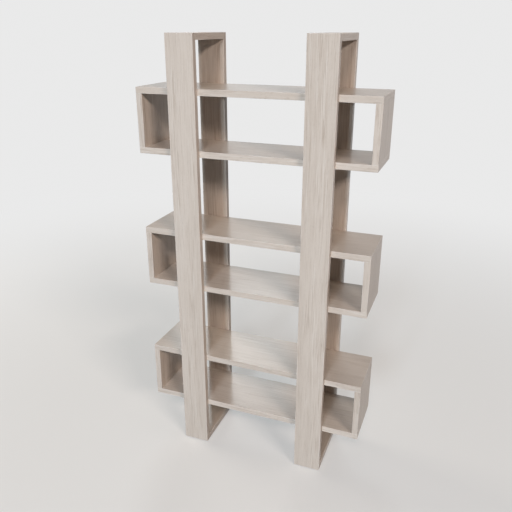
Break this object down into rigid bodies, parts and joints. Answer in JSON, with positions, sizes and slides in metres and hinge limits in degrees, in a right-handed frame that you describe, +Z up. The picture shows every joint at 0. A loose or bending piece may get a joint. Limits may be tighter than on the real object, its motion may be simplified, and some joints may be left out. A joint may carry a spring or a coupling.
{
  "type": "open bookshelf",
  "caption": "Free-standing open bookshelf: long boxes, open at front and back, threaded through upright rectangular board loops, in pale white-washed oak.",
  "frame": {"origin": "on the floor, midway between the two posts and midway from front to back", "axes": "+Z up; +X to the right along the shelves, seen from the front; +Y from the front to the back; the front faces -Y"},
  "size_m": [0.96, 0.3, 1.8],
  "materials": {
    "whitewashed_oak": "satin white-washed oak veneer with a fine straight grain",
    "beech_biscuit": "pressed beech, bare",
    "nylon": "natural white nylon"
  },
  "bodies": {
    "root": {"bottom_box_corner_biscuits": "beech_biscuit", "bottom_box_crossing_biscuits": "beech_biscuit", "bottom_box_left_end": "whitewashed_oak", "bottom_box_lower_shelf": "whitewashed_oak", "bottom_box_right_end": "whitewashed_oak", "bottom_box_upper_shelf": "whitewashed_oak", "left_post_back_board": "whitewashed_oak", "left_post_bottom_board": "whitewashed_oak", "left_post_corner_biscuits": "beech_biscuit", "left_post_front_board": "whitewashed_oak", "left_post_glides": "nylon", "left_post_top_board": "whitewashed_oak", "middle_box_corner_biscuits": "beech_biscuit", "middle_box_crossing_biscuits": "beech_biscuit", "middle_box_left_end": "whitewashed_oak", "middle_box_lower_shelf": "whitewashed_oak", "middle_box_right_end": "whitewashed_oak", "middle_box_upper_shelf": "whitewashed_oak", "right_post_back_board": "whitewashed_oak", "right_post_bottom_board": "whitewashed_oak", "right_post_corner_biscuits": "beech_biscuit", "right_post_front_board": "whitewashed_oak", "right_post_glides": "nylon", "right_post_top_board": "whitewashed_oak", "top_box_corner_biscuits": "beech_biscuit", "top_box_crossing_biscuits": "beech_biscuit", "top_box_left_end": "whitewashed_oak", "top_box_lower_shelf": "whitewashed_oak", "top_box_right_end": "whitewashed_oak", "top_box_upper_shelf": "whitewashed_oak"}
  },
  "joints": []
}
